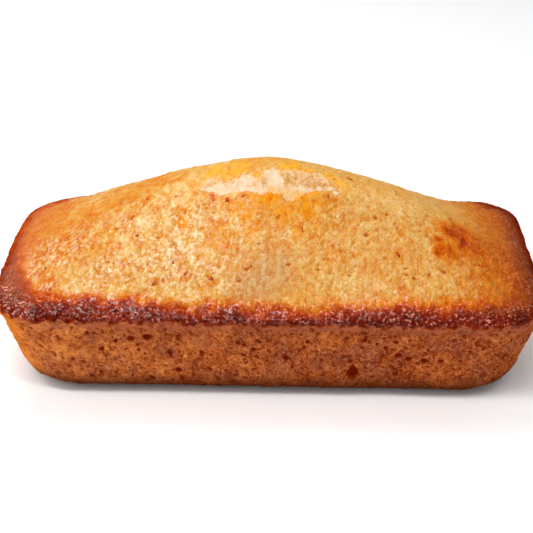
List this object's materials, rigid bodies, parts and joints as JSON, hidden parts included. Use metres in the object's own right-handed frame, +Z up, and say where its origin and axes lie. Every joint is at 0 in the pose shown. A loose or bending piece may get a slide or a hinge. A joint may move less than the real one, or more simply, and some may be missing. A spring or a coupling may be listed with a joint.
{
  "type": "financier cake",
  "caption": "Small oblong almond cake with tapered sides, a flat underside, a dark caramelised rim and a golden domed top split along its crest; rests on a plate.",
  "frame": {"origin": "middle of the flat underside, below the middle of the cake's box", "axes": "+X along the cake's length, +Y from its front to its back, +Z up through the dome"},
  "size_m": [0.0904, 0.0454, 0.0338],
  "materials": {
    "crust": "golden granular baked crust, dark brown and glossy along the rim, porous orange-brown on the sides"
  },
  "bodies": {
    "root": {"financier_cake": "crust"}
  },
  "joints": []
}
